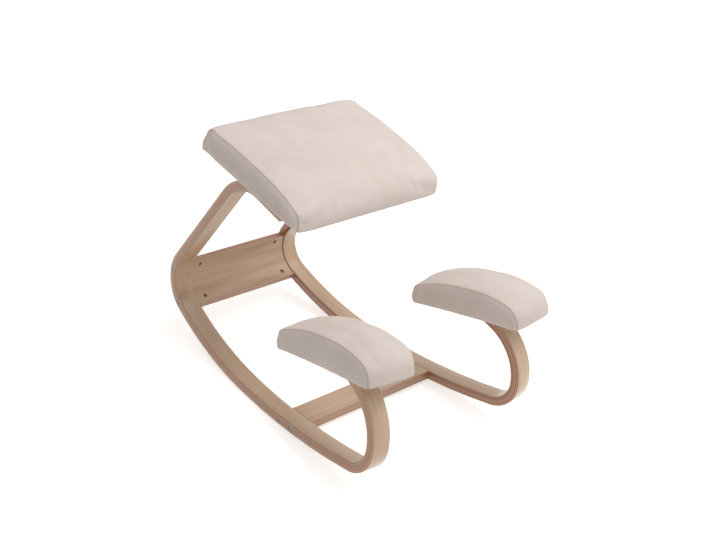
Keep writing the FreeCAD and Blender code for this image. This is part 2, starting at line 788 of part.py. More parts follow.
def tee_master():
    """Tee nut: its flange lies on top of the board at Z = 0 and its barrel hangs into it."""
    flange = cylinder("tee_flange", "sizes.tee_flange_diameter", "sizes.tee_flange_thickness",
                      FreeCAD.Placement())
    barrel = cylinder("tee_barrel", "sizes.tee_barrel_diameter", "sizes.tee_barrel_length",
                      FreeCAD.Placement())
    barrel.setExpression("Placement.Base.z", "-sizes.tee_barrel_length")
    solid = document.addObject("Part::MultiFuse", "tee_solid")
    solid.Shapes = [flange, barrel]
    bore = cylinder("tee_bore", "sizes.bolt_diameter + sizes.thread_clearance", "4 * sizes.tee_barrel_length",
                    FreeCAD.Placement())
    bore.setExpression("Placement.Base.z", "-2 * sizes.tee_barrel_length")
    return cut("tee_master", solid, bore)


def washer_master():
    """Washer that lies under a bolt's head, from Z = 0 up."""
    disc = cylinder("washer_disc", "sizes.washer_diameter", "sizes.washer_thickness", FreeCAD.Placement())
    bore = cylinder("washer_bore", "sizes.bolt_diameter + sizes.bolt_clearance",
                    "3 * sizes.washer_thickness", FreeCAD.Placement())
    bore.setExpression("Placement.Base.z", "-sizes.washer_thickness")
    return cut("washer_master", disc, bore)


tee_nut = tee_master()
washer = washer_master()
rail_bolt = {kind: bolt_master(kind + "_rail_bolt_master",
                               "sizes.washer_thickness + sizes.runner_thickness + sizes.cloth_thickness"
                               " + sizes.cover_thickness + sizes.%s_board_thickness"
                               " - sizes.bolt_shy_of_board" % kind)
             for kind in ("seat", "pad")}


def rail_bolt_frames(sides, points, upward):
    """Frames of washers on the rails' inner faces, one for each bolt, with Z along the bolt."""
    drop = size("runner_thickness") / 2 + size("washer_thickness")
    return [runner_frame[side].multiply(along(point - upward * drop, upward))
            for side in sides for point in points]


def on_board(frame, cushion_frame, height):
    """Where a bolt's axis passes a height above a cushion's underside, in the cushion's own frame."""
    inverse = cushion_frame.inverse()
    base = inverse.multVec(frame.Base)
    direction = inverse.Rotation.multVec(frame.Rotation.multVec(Z_AXIS))
    point = base + direction * ((height - base.z) / direction.z)
    return FreeCAD.Vector(point.x, point.y, 0)


def cushion_board(kind, places):
    """Plywood board with a hole for each tee nut's barrel."""
    blank = rounded_board(kind + "_board_blank", kind + "_board_width", kind + "_board_length",
                          kind + "_board_thickness", 0, size("cover_thickness"))
    barrels = bores(kind + "_board_bore", places, "sizes.tee_barrel_diameter", 0,
                    "sizes.%s_board_thickness + 2 * sizes.cover_thickness" % kind)
    return cut(kind + "_board_master", blank, group(kind + "_board_bores", barrels))


def cushion_cover(kind):
    """Upholstery cover, folded in under the cushion round an open middle."""
    outside = cushion_form(kind + "_outside", kind, 0)
    inside = cushion_form(kind + "_inside", kind, size("cover_thickness"))
    middle, span = flat_span(kind)
    lap = size("cloth_lap")
    mouth = document.addObject("Part::Box", kind + "_mouth")
    mouth.setExpression("Length", "sizes.%s_cloth_width - 2 * sizes.cloth_lap" % kind)
    mouth.setExpression("Width", "sizes.%s_cloth_length - 2 * sizes.cloth_lap" % kind)
    mouth.setExpression("Height", "3 * sizes.cover_thickness")
    mouth.Placement = placed(FreeCAD.Vector(lap - size(kind + "_cloth_width") / 2, middle - span / 2 + lap,
                                            -size("cover_thickness")))
    return cut(kind + "_cover_master", outside, group(kind + "_cover_hollow", [inside, mouth]))


def cushion_foam(kind, places):
    """Foam over and round the board, hollowed for the tee nuts' flanges."""
    core = cushion_form(kind + "_core", kind, size("cover_thickness") + size("foam_gap"))
    room = rounded_board(kind + "_board_room", kind + "_board_width", kind + "_board_length",
                         kind + "_board_thickness", 0, size("cover_thickness"))
    recesses = bores(kind + "_foam_recess", places,
                     "sizes.tee_flange_diameter + 2 * sizes.tee_recess_clearance", size("cover_thickness"),
                     "sizes.%s_board_thickness + sizes.tee_flange_thickness"
                     " + sizes.tee_recess_clearance" % kind)
    return cut(kind + "_foam_master", core, group(kind + "_foam_hollow", [room] + recesses))


def cushion_cloth(kind, places):
    """Thin cloth over the open middle of the cover's underside."""
    blank = rounded_board(kind + "_cloth_blank", kind + "_cloth_width", kind + "_cloth_length",
                          "cloth_thickness", flat_span(kind)[0], -size("cloth_thickness"))
    holes = bores(kind + "_cloth_hole", places, "sizes.bolt_diameter + 2 * sizes.bolt_clearance",
                  -2 * size("cloth_thickness"), "4 * sizes.cloth_thickness")
    return cut(kind + "_cloth_master", blank, group(kind + "_cloth_holes", holes))


def cushions(kind, labels, frames, sides, points, upward):
    """Alike cushions, one for each label and frame, each with its board, foam, cover, cloth and fasteners."""
    top = size("cover_thickness") + size(kind + "_board_thickness")
    bolts = [rail_bolt_frames(side, points, upward) for side in sides]
    places = [on_board(bolt, frames[0], top) for bolt in bolts[0]]
    masters = {"_board": cushion_board(kind, places), "_foam": cushion_foam(kind, places),
               "_cover": cushion_cover(kind),
               "_underside_cloth": cushion_cloth(kind, [on_board(b, frames[0], 0) for b in bolts[0]])}
    for label, frame, bolt_frames in zip(labels, frames, bolts):
        for ending, master in masters.items():
            item = group(label + ending, [master])
            item.Placement = frame
            finish(item, label + ending)
        tees = [frame.multiply(placed(FreeCAD.Vector(place.x, place.y, top))) for place in places]
        finish(copies(label + "_bolts", rail_bolt[kind], bolt_frames), label + "_bolts")
        finish(copies(label + "_washers", washer, bolt_frames), label + "_washers")
        finish(copies(label + "_tee_nuts", tee_nut, tees), label + "_tee_nuts")


cushions("seat", ["seat"], [seat_placement()], [list(SIDES)], seat_points, seat_up)
cushions("pad", ["knee_pad_" + side for side in SIDES], [pad_placement(side) for side in SIDES],
         [[side] for side in SIDES], pad_points, pad_up)


def check(item):
    """Stop if an object failed or a sub-part's shape is empty or broken."""
    if "Invalid" in item.State or "Error" in item.State:
        raise RuntimeError("%s failed: %s" % (item.Name, item.State))
    if item in nodes and (item.Shape.isNull() or not item.Shape.isValid()):
        raise RuntimeError("%s has no valid shape" % item.Label)


def stand_on_floor():
    """Move the whole chair so that the origin lies under the middle of its overall box, on the floor."""
    box = FreeCAD.BoundBox()
    for node in nodes:
        box.add(node.Shape.optimalBoundingBox(False))
    shift = placed(FreeCAD.Vector(-box.Center.x, -box.Center.y, -box.ZMin))
    for node in nodes:
        node.Placement = shift.multiply(node.Placement)
    document.recompute()
    print("overall size %.1f x %.1f x %.1f mm" % (box.XLength, box.YLength, box.ZLength))
    print("contact line at Y = %.2f mm" % shift.Base.y)


document.recompute()
stand_on_floor()
for thing in document.Objects:
    check(thing)
os.makedirs("parts", exist_ok=True)
for node in nodes:
    node.Shape.exportStep(os.path.join("parts", node.Label + ".step"))
    print("%-32s solids %2d  volume %10.1f mm3" % (node.Label, len(node.Shape.Solids), node.Shape.Volume))
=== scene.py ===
import math

import bpy
from mathutils import Matrix, Vector, noise


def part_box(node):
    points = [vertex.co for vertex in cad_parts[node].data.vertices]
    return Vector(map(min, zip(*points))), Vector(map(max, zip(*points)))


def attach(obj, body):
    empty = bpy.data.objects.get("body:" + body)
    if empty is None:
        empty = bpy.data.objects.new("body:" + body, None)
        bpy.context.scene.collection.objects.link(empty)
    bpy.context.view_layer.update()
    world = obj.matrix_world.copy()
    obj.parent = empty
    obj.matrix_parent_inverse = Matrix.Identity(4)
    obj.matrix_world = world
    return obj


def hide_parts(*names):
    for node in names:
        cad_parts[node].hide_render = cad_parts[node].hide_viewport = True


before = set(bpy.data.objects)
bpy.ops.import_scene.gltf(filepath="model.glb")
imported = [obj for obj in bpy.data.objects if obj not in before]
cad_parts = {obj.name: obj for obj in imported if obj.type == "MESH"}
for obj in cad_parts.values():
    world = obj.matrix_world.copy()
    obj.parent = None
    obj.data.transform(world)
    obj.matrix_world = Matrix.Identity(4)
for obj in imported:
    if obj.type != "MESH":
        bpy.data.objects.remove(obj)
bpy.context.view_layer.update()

mm = 0.001
millimetresPerMetre = 1000.0
body = "root"
smoothAngle = math.radians(40)    # edges sharper than this stay crisp


def deselectAll():
    if bpy.context.object and bpy.context.object.mode != "OBJECT":
        bpy.ops.object.mode_set(mode="OBJECT")
    bpy.ops.object.select_all(action="DESELECT")


def makeActive(piece):
    deselectAll()
    piece.select_set(True)
    bpy.context.view_layer.objects.active = piece


def selectWhere(piece, test):
    # selects vertices and the edges between them, by their place
    bpy.ops.object.mode_set(mode="OBJECT")
    for vertex in piece.data.vertices:
        vertex.select = test(vertex.co)
    chosen = {vertex.index for vertex in piece.data.vertices if vertex.select}
    for edge in piece.data.edges:
        edge.select = edge.vertices[0] in chosen and edge.vertices[1] in chosen
    for face in piece.data.polygons:
        face.select = False
    bpy.ops.object.mode_set(mode="EDIT")


def plainMaterial(name):
    material = bpy.data.materials.new(name)
    material.use_nodes = True
    material.node_tree.nodes.clear()
    return material, material.node_tree


def closeMaterial(tree, inputs):
    # the one shader of a material, with constant values on its own sockets
    shader = addNode(tree, "BsdfPrincipled", inputs)
    addNode(tree, "OutputMaterial", {"Surface": shader})


def linear(hexColour):
    # an sRGB hex colour as the linear values that Blender's sockets take
    parts = [int(hexColour[place:place + 2], 16) / 255 for place in (1, 3, 5)]
    return [part / 12.92 if part <= 0.04045 else ((part + 0.055) / 1.055) ** 2.4 for part in parts] + [1]


def addNode(tree, kind, inputs=None, **settings):
    # an input is a value, one of a node's outputs, or a node, which stands for its first output
    made = tree.nodes.new("ShaderNode" + kind)
    for key, value in settings.items():
        setattr(made, key, value)
    for key, value in (inputs or {}).items():
        value = value.outputs[0] if isinstance(value, bpy.types.Node) else value
        if isinstance(value, bpy.types.NodeSocket):
            tree.links.new(value, made.inputs[key])
        else:
            made.inputs[key].default_value = value
    return made


cameraSizes = {
    # metres; the camera is pitched and rolled, so that the chair stands in balance and looks as photographed
    "place": (-1.72379, -1.52472, 1.55930),
    "right": (0.71301, -0.68132, 0.16558),
    "up": (0.23722, 0.45665, 0.85744),
    "back": (-0.65980, -0.57208, 0.48722),
    "lens": 63.04,
    "sensor": 36.0,
}


def makeCamera():
    data = bpy.data.cameras.new("studioCamera")
    data.lens = cameraSizes["lens"]
    data.sensor_width = cameraSizes["sensor"]
    data.sensor_fit = "HORIZONTAL"
    camera = bpy.data.objects.new("studioCamera", data)
    bpy.context.scene.collection.objects.link(camera)
    axes = Matrix((cameraSizes["right"], cameraSizes["up"], cameraSizes["back"])).transposed()
    camera.matrix_world = Matrix.Translation(cameraSizes["place"]) @ axes.to_4x4()
    bpy.context.scene.camera = camera


makeCamera()
print("camera set")


studio = {
    "floorSize": 14.0,
    "floorBelow": 0.0002,    # metres below the runners, so that no faces coincide
    "floorColour": "#f4f3f1",
    "worldStrength": 0.42,
    "floorLift": 0.6,        # added only where the floor is seen, never as light on the chair
    "lamps": [
        # name, place, width, height, watts
        ("keyAbove", (0.7, -0.5, 2.6), 2.2, 2.2, 42),
        ("fillFront", (1.8, -2.4, 0.9), 2.0, 1.6, 8),
        ("fillLeft", (-3.0, -0.4, 1.4), 2.0, 2.0, 4),
    ],
    "lampAim": (0.0, 0.0, 0.3),
}


def seenDirectly(tree):
    # 1 for rays that show a surface in the picture, in a reflection or through glass, 0 for rays that light
    path = addNode(tree, "LightPath")
    first = addNode(tree, "Math", {0: path.outputs["Is Camera Ray"], 1: path.outputs["Is Glossy Ray"]},
                    operation="MAXIMUM")
    return addNode(tree, "Math", {0: first, 1: path.outputs["Is Transmission Ray"]}, operation="MAXIMUM")


def makeWorld():
    world = bpy.data.worlds.new("studioWorld")
    world.use_nodes = True
    tree = world.node_tree
    tree.nodes.clear()
    seen = seenDirectly(tree)
    strength = addNode(tree, "Mix", {0: seen, 2: studio["worldStrength"], 3: 1.0})
    light = addNode(tree, "Background", {"Color": (1, 1, 1, 1), "Strength": strength})
    addNode(tree, "OutputWorld", {"Surface": light})
    bpy.context.scene.world = world


def makeFloor():
    deselectAll()
    bpy.ops.mesh.primitive_plane_add(size=studio["floorSize"], location=(0, 0, -studio["floorBelow"]))
    floor = bpy.context.object
    floor.name = "studioFloor"
    material, tree = plainMaterial("matt white studio paper")
    paper = addNode(tree, "BsdfDiffuse", {"Color": linear(studio["floorColour"])})
    lift = addNode(tree, "Math", {0: seenDirectly(tree), 1: studio["floorLift"]}, operation="MULTIPLY")
    glow = addNode(tree, "Emission", {"Strength": lift})
    both = addNode(tree, "AddShader", {0: paper, 1: glow})
    addNode(tree, "OutputMaterial", {"Surface": both})
    floor.data.materials.append(material)


def makeLamps():
    for name, place, width, height, watts in studio["lamps"]:
        data = bpy.data.lights.new(name, "AREA")
        data.shape = "RECTANGLE"
        data.size = width
        data.size_y = height
        data.energy = watts
        lamp = bpy.data.objects.new(name, data)
        bpy.context.scene.collection.objects.link(lamp)
        direction = Vector(studio["lampAim"]) - Vector(place)
        lamp.matrix_world = Matrix.Translation(place) @ direction.to_track_quat("-Z", "Y").to_matrix().to_4x4()


makeWorld()
makeFloor()
makeLamps()
bpy.context.scene.view_settings.view_transform = "Standard"
print("stage set")


runnerSizes = {
    # millimetres and degrees
    "width": 42.0,
    "thickness": 21.6,
    "edgeRadius": 2.0,
    "edgeSegments": 3,
    "spacing": 372.7,
    "splay": 4.62,
    "lean": 1.52,
    # radius, turn, length of each stretch of the centreline, from the floor contact
    "front": [(1365, 14.01, 0), (64.4, 80.6, 0), (125.3, 99.4, 0), (0, 0, 62)],
    "rear": [(1365, 1.26, 0), (657, 22.1, 0), (72.7, 97.5, 0), (0, 0, 260.4), (103.7, 67, 0), (0, 0, 81)],
    "degreesPerStep": 2.5,
    "plateThickness": 15.0,
    "headRecessDiameter": 12.8,
    "headRecess": 3.6,
    "headRecessSides": 40,
    "rearBoltTurn": 26,
    "rearBoltSpacing": 66,
    "barTurn": 5.68,
    "frontBoltSpacing": 37,
    "onStart": 0.1,          # points nearer to the floor contact than this start the rear half
}


def heading(degrees):
    # a step of length 1 in the runner's plane
    return Vector((math.cos(math.radians(degrees)), math.sin(math.radians(degrees)), 0))


def walkPath(stretches, side):
    # side is 1 ahead of the floor contact and -1 behind it; every stretch turns left as it is walked
    point = Vector((0, runnerSizes["thickness"] / 2, 0))
    angle = 0.0
    travelled = 0.0
    path = []
    for radius, turn, length in stretches:
        if turn:
            centre = point + heading(angle + 90) * radius
            after = centre + heading(angle + turn - 90) * radius
            length = math.radians(turn) * radius
        else:
            centre = None
            after = point + heading(angle) * length
        flip = Vector((side, 1, 1))
        path.append({"centre": centre * flip if centre else None, "radius": radius, "start": point * flip,
                     "end": after * flip, "angle": angle, "turn": turn, "length": length,
                     "from": travelled, "side": side})
        point = after
        angle += turn
        travelled += length
    return path


frontPath = walkPath(runnerSizes["front"], 1)
rearPath = walkPath(runnerSizes["rear"], -1)


def onRunner(place):
    # distance along the centreline and distance outwards from it, by the stretch that holds the point best
    best = None
    half = runnerSizes["thickness"] / 2
    for stretch in frontPath + rearPath:
        side = stretch["side"]
        flat = Vector((place.x * side, place.y, 0))
        start = Vector((stretch["start"].x * side, stretch["start"].y, 0))
        if stretch["centre"] is None:
            ahead = heading(stretch["angle"])
            along = (flat - start).dot(ahead)
            outward = (flat - start).dot(heading(stretch["angle"] - 90))
            beyond = max(0, -along, along - stretch["length"])
        else:
            centre = Vector((stretch["centre"].x * side, stretch["centre"].y, 0))
            arm = flat - centre
            turned = math.degrees(math.atan2(arm.y, arm.x)) - (stretch["angle"] - 90)
            turned = (turned + 180) % 360 - 180
            along = math.radians(turned) * stretch["radius"]
            outward = arm.length - stretch["radius"]
            beyond = max(0, -along, along - stretch["length"])
        score = beyond + max(0, abs(outward) - half)
        if best is None or score < best[0]:
            best = (score, side * (stretch["from"] + along), outward)
    return best[1], best[2]


def runnerMatrix(side):
    # from a runner's own plane to the chair, with its splay seen from above and its lean seen from the front
    splay = math.tan(math.radians(runnerSizes["splay"]))
    lean = math.tan(math.radians(runnerSizes["lean"]))
    outward = Vector((side, splay, lean)).normalized()
    forward = Vector((side * splay, -1, 0)).normalized()
    across = outward * -side
    upward = across.cross(forward)
    axes = Matrix((forward, upward, across)).transposed()
    return Matrix.Translation((side * runnerSizes["spacing"] / 2, 0, 0)) @ axes.to_4x4()


def followPath(path):
    # the selected section is drawn along the path and closed at its end
    side = path[0]["side"]
    for stretch in path:
        if stretch["centre"] is None:
            step = heading(stretch["angle"]) * stretch["length"]
            bpy.ops.mesh.extrude_region_move(TRANSFORM_OT_translate={"value": (step.x * side, step.y, 0)})
        else:
            steps = max(2, round(stretch["turn"] / runnerSizes["degreesPerStep"]))
            bpy.ops.mesh.spin(steps=steps, angle=-math.radians(stretch["turn"]) * side,
                              center=stretch["centre"], axis=(0, 0, 1))
    bpy.ops.mesh.edge_face_add()


def makeRunner():
    # the left runner in its own plane: x forward, y up, z across
    deselectAll()
    bpy.ops.mesh.primitive_plane_add(size=1, location=(0, 0, 0))
    piece = bpy.context.object
    middle = Vector((0, runnerSizes["thickness"] / 2, 0))
    for vertex in piece.data.vertices:
        high, wide = vertex.co.y * runnerSizes["thickness"], vertex.co.x * runnerSizes["width"]
        vertex.co = middle + Vector((0, high, wide))
    makeActive(piece)
    bpy.ops.object.mode_set(mode="EDIT")
    bpy.ops.mesh.select_all(action="SELECT")
    bpy.ops.mesh.bevel(offset=runnerSizes["edgeRadius"], segments=runnerSizes["edgeSegments"],
                       affect="VERTICES")
    bpy.ops.mesh.delete(type="ONLY_FACE")
    bpy.ops.mesh.select_all(action="SELECT")
    followPath(frontPath)
    selectWhere(piece, lambda place: abs(place.x) < runnerSizes["onStart"])
    followPath(rearPath)
    bpy.ops.mesh.select_all(action="SELECT")
    bpy.ops.mesh.normals_make_consistent(inside=False)
    bpy.ops.object.mode_set(mode="OBJECT")
    return piece


def boltPlaces():
    # places of the cross members' bolts on the centreline, in the runner's plane
    rear = rearPath[2]
    places = []
    for turn in (runnerSizes["rearBoltTurn"], runnerSizes["rearBoltTurn"] + runnerSizes["rearBoltSpacing"]):
        arm = heading(270 - rear["angle"] - rear["turn"] + turn) * rear["radius"]
        places.append(rear["centre"] + arm)
    middle = frontPath[0]["centre"] + heading(runnerSizes["barTurn"] - 90) * frontPath[0]["radius"]
    step = heading(runnerSizes["barTurn"]) * runnerSizes["frontBoltSpacing"] / 2
    return places + [middle - step, middle + step]


def cutRecesses(piece):
    # round recesses for the bolt heads in the outer face
    deselectAll()
    cutters = []
    depth = runnerSizes["headRecess"]
    for place in boltPlaces():
        bpy.ops.mesh.primitive_cylinder_add(
            vertices=runnerSizes["headRecessSides"], radius=runnerSizes["headRecessDiameter"] / 2, depth=2 * depth,
            location=(place.x, place.y, -runnerSizes["width"] / 2))
        cutters.append(bpy.context.object)
    deselectAll()
    for cutter in cutters:
        cutter.select_set(True)
    bpy.context.view_layer.objects.active = cutters[0]
    bpy.ops.object.join()
    cutter = bpy.context.object
    makeActive(piece)
    cut = piece.modifiers.new("recesses", "BOOLEAN")
    cut.object = cutter
    cut.operation = "DIFFERENCE"
    bpy.ops.object.modifier_apply(modifier=cut.name)
    bpy.data.objects.remove(cutter)


def storeBend(piece):
    # where each point lies in the straight lamination: along, outwards, across, in metres
    bend = piece.data.attributes.new("bend", "FLOAT_VECTOR", "POINT")
    for vertex in piece.data.vertices:
        along, outward = onRunner(vertex.co)
        bend.data[vertex.index].vector = (along * mm, outward * mm, vertex.co.z * mm)


def lowestAndHighest(mesh):
    places = [vertex.co for vertex in mesh.vertices]
    return (Vector([min(place[k] for place in places) for k in range(3)]),
            Vector([max(place[k] for place in places) for k in range(3)]))


def mirrorPiece(piece, name):
    # the same piece on the other side of the middle plane, with its own mesh
    mesh = piece.data.copy()
    mesh.transform(Matrix.Diagonal((-1, 1, 1, 1)))
    mesh.flip_normals()
    twin = bpy.data.objects.new(name, mesh)
    bpy.context.scene.collection.objects.link(twin)
    return twin


def finishPiece(piece, slot, *nodes):
    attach(piece, body)
    if nodes:
        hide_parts(*nodes)


woodSizes = {
    # lacquered birch veneer, knife cut and bent in a press: pale satin faces with fine dark flecks
    "paleTone": "#c9a887",
    "midTone": "#bb9573",
    "darkTone": "#a27650",
    "fleckTone": "#966d4e",
    # the plies' edges are cut across the lathe checks, so they take up more lacquer and look redder
    "edgeTones": ["#bd8559", "#a56f48", "#7a4a2e", "#cf9f77"],
    "glueTone": "#5e3823",
    "plyThickness": 1.54,
    "fleckLength": 9.0,
    "fleckWidth": 0.9,
    "bandWidth": 14.0,
    # scales of the streaks and of the finest grain per metre: along, through the plies, across
    "streakScale": (14.0, 40.0, 420.0),
    "fineScale": (60.0, 900.0, 900.0),
    "streakShare": 0.35,
    "fleckShare": 0.4,
    "glueShare": 0.6,
    "faceVeneer": 1.0,       # millimetres of face veneer before the plies' edges show
    "grainBump": 0.25,
    "grainDepth": 0.0002,
    "roughness": 0.4,
    "roughnessBelow": 0.05,
    "roughnessAbove": 0.1,
    "coat": 0.9,
    "coatRoughness": 0.3,
    "seeds": {"left": 2.0, "right": 11.0, "plate": 5.0, "bar": 8.0},
}


def laminatedWood(name, place, halfThickness, seed):
    # place gives the point in the straight lamination: X along the grain, Y through the plies
    material, tree = plainMaterial(name)
    vector = place(tree)
    parts = addNode(tree, "SeparateXYZ", {0: vector})

    def pattern(scale, detail, roughness=0.5, shift=0.0):
        mapped = addNode(tree, "Mapping", {"Vector": vector, "Scale": scale,
                                           "Location": (seed + shift, seed * 0.7, seed * 0.3)})
        return addNode(tree, "TexNoise", {"Vector": mapped, "Scale": 1.0, "Detail": detail,
                                          "Roughness": roughness}).outputs["Fac"]

    def ramp(value, stops):
        made = addNode(tree, "ValToRGB", {0: value})
        elements = made.color_ramp.elements
        while len(elements) < len(stops):
            elements.new(0.5)
        for element, (position, colour) in zip(elements, stops):
            element.position = position
            element.color = linear(colour)
        return made

    bands = pattern((3.0, 9.0, millimetresPerMetre / woodSizes["bandWidth"]), 3.0)
    streaks = pattern(woodSizes["streakScale"], 4.0, 0.6, 3.1)
    flecks = pattern((millimetresPerMetre / woodSizes["fleckLength"], 200.0,
                      millimetresPerMetre / woodSizes["fleckWidth"]), 1.0, 0.5, 7.7)
    streakMask = addNode(tree, "MapRange", {"Value": streaks, "From Min": 0.5, "From Max": 0.78,
                                            "To Max": woodSizes["streakShare"]})
    fleckMask = addNode(tree, "MapRange", {"Value": flecks, "From Min": 0.66, "From Max": 0.76,
                                           "To Max": woodSizes["fleckShare"]})
    face = ramp(bands, [(0.3, woodSizes["midTone"]), (0.52, woodSizes["paleTone"]), (0.74, woodSizes["midTone"])])
    for mask, tone in ((streakMask, "darkTone"), (fleckMask, "fleckTone")):
        face = addNode(tree, "Mix", {0: mask, 6: face, 7: linear(woodSizes[tone])}, data_type="RGBA").outputs[2]

    # plies: each has a tone of its own, with a thin glue line between two
    ply = woodSizes["plyThickness"] * mm
    wobble = addNode(tree, "Math", {0: pattern((8.0, 1.0, 1.0), 1.0, 0.5, 1.3), 1: ply / 2, 2: -ply / 4},
                     operation="MULTIPLY_ADD")
    shifted = addNode(tree, "Math", {0: parts.outputs["Y"], 1: wobble}, operation="ADD")
    level = addNode(tree, "Math", {0: shifted, 1: ply}, operation="DIVIDE")
    number = addNode(tree, "Math", {0: level}, operation="FLOOR")
    number = addNode(tree, "Math", {0: number, 1: seed}, operation="ADD")
    tone = addNode(tree, "TexWhiteNoise", {"W": number}, noise_dimensions="1D").outputs["Value"]
    first, second, third, fourth = woodSizes["edgeTones"]
    plies = ramp(tone, [(0.0, third), (0.3, first), (0.6, second), (1.0, fourth)])
    within = addNode(tree, "Math", {0: level}, operation="FRACT")
    within = addNode(tree, "Math", {0: within, 1: 0.5}, operation="SUBTRACT")
    offset = addNode(tree, "Math", {0: within}, operation="ABSOLUTE")
    glue = addNode(tree, "MapRange", {"Value": offset, "From Min": 0.36, "From Max": 0.5,
                                      "To Max": woodSizes["glueShare"]})
    edgeStreaks = addNode(tree, "Math", {0: streakMask, 1: 0.6}, operation="MULTIPLY")
    for mask, tone in ((edgeStreaks, second), (glue, woodSizes["glueTone"])):
        plies = addNode(tree, "Mix", {0: mask, 6: plies, 7: linear(tone)}, data_type="RGBA").outputs[2]

    depth = addNode(tree, "Math", {0: parts.outputs["Y"]}, operation="ABSOLUTE")
    inside = halfThickness - woodSizes["faceVeneer"]
    veneer = addNode(tree, "MapRange", {"Value": depth, "From Min": inside * mm, "From Max": (inside + 0.5) * mm})
    colour = addNode(tree, "Mix", {0: veneer, 6: plies, 7: face}, data_type="RGBA").outputs[2]
    fine = pattern(woodSizes["fineScale"], 2.0, 0.5, 5.0)
    smoothest = woodSizes["roughness"] - woodSizes["roughnessBelow"]
    roughest = woodSizes["roughness"] + woodSizes["roughnessAbove"]
    rough = addNode(tree, "MapRange", {"Value": streaks, "To Min": smoothest, "To Max": roughest})
    bump = addNode(tree, "Bump", {"Strength": woodSizes["grainBump"], "Distance": woodSizes["grainDepth"],
                                  "Height": fine})
    closeMaterial(tree, {"Base Color": colour, "Roughness": rough, "Coat Weight": woodSizes["coat"],
                         "Coat Roughness": woodSizes["coatRoughness"], "Normal": bump})
    return material


def bendPlace(tree):
    # the runners' meshes carry each point's place in the straight lamination
    return addNode(tree, "Attribute", attribute_name="bend").outputs["Vector"]


def barPlace(tree):
    # turned so that X runs along the bar's grain, Y through its thickness and Z across its width
    low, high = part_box("front_cross_bar")
    middle = (low + high) / 2
    where = addNode(tree, "TexCoord").outputs["Object"]
    centred = addNode(tree, "Mapping", {"Vector": where, "Location": (0, -middle.y, -middle.z)})
    turned = addNode(tree, "Mapping", {"Vector": centred,
                                       "Rotation": (math.radians(runnerSizes["barTurn"]), 0, 0)})
    parts = addNode(tree, "SeparateXYZ", {0: turned})
    return addNode(tree, "CombineXYZ", {0: parts, 1: parts.outputs[2], 2: parts.outputs[1]})


def platePlace(shift):
    # X along the grain, Y through the plate's thickness, Z round the bend
    centre = plateCentre(shift)

    def place(tree):
        where = addNode(tree, "TexCoord").outputs["Object"]
        centred = addNode(tree, "Mapping", {"Vector": where, "Location": (0, -centre.y, -centre.z)})
        parts = addNode(tree, "SeparateXYZ", {0: centred})
        flat = addNode(tree, "CombineXYZ", {1: parts.outputs[1], 2: parts.outputs[2]})
        radius = addNode(tree, "VectorMath", {0: flat}, operation="LENGTH").outputs["Value"]
        turned = addNode(tree, "Math", {0: parts.outputs[2], 1: parts.outputs[1]}, operation="ARCTAN2")
        depth = addNode(tree, "Math", {0: radius, 1: rearPath[2]["radius"] * mm}, operation="SUBTRACT")
        around = addNode(tree, "Math", {0: turned, 1: rearPath[2]["radius"] * mm}, operation="MULTIPLY")
        return addNode(tree, "CombineXYZ", {0: parts, 1: depth, 2: around})
    return place


def plateCentre(shift):
    # the axis of the rear bend, on the runner's inner face
    inner = runnerMatrix(1) @ (rearPath[2]["centre"] + Vector((0, 0, runnerSizes["width"] / 2)))
    return (inner + shift) * mm


hiddenSizes = {
    "boltTone": "#a3a09b", "boltRoughness": 0.38,
    "nutTone": "#7d6a58", "nutRoughness": 0.45,
    "platingScale": 900.0, "platingShade": 0.8, "smoother": 0.08, "rougher": 0.12,
    "plywoodTones": ("#b99468", "#d8bf98"), "plywoodGrain": (6.0, 140.0, 140.0), "plywoodRoughness": 0.75,
    "clothTones": ("#1b1b1d", "#323236"), "clothPoints": 2.2, "clothFibres": 700.0, "clothRoughness": 0.9,
}


def zincSteel(name, hexColour, roughness):
    # zinc-plated steel: grey, faintly mottled by the plating, with soft highlights
    material, tree = plainMaterial(name)
    where = addNode(tree, "TexCoord").outputs["Object"]
    mottle = addNode(tree, "TexNoise", {"Vector": where, "Scale": hiddenSizes["platingScale"],
                                        "Detail": 2.0}).outputs["Fac"]
    rough = addNode(tree, "MapRange", {"Value": mottle, "To Min": roughness - hiddenSizes["smoother"],
                                       "To Max": roughness + hiddenSizes["rougher"]})
    bright = linear(hexColour)
    dark = [part * hiddenSizes["platingShade"] for part in bright[:3]] + [1]
    colour = addNode(tree, "Mix", {0: mottle, 6: dark, 7: bright}, data_type="RGBA").outputs[2]
    closeMaterial(tree, {"Base Color": colour, "Metallic": 1.0, "Roughness": rough})
    return material


def rawPlywood(name):
    # unfinished birch plywood: long pale grain, matt
    material, tree = plainMaterial(name)
    where = addNode(tree, "TexCoord").outputs["Object"]
    mapped = addNode(tree, "Mapping", {"Vector": where, "Scale": hiddenSizes["plywoodGrain"]})
    grain = addNode(tree, "TexNoise", {"Vector": mapped, "Scale": 1.0, "Detail": 4.0}).outputs["Fac"]
    dark, pale = [linear(tone) for tone in hiddenSizes["plywoodTones"]]
    colour = addNode(tree, "Mix", {0: grain, 6: dark, 7: pale}, data_type="RGBA").outputs[2]
    bump = addNode(tree, "Bump", {"Strength": 0.2, "Distance": 0.0002, "Height": grain})
    closeMaterial(tree, {"Base Color": colour, "Normal": bump,
                         "Roughness": hiddenSizes["plywoodRoughness"]})
    return material


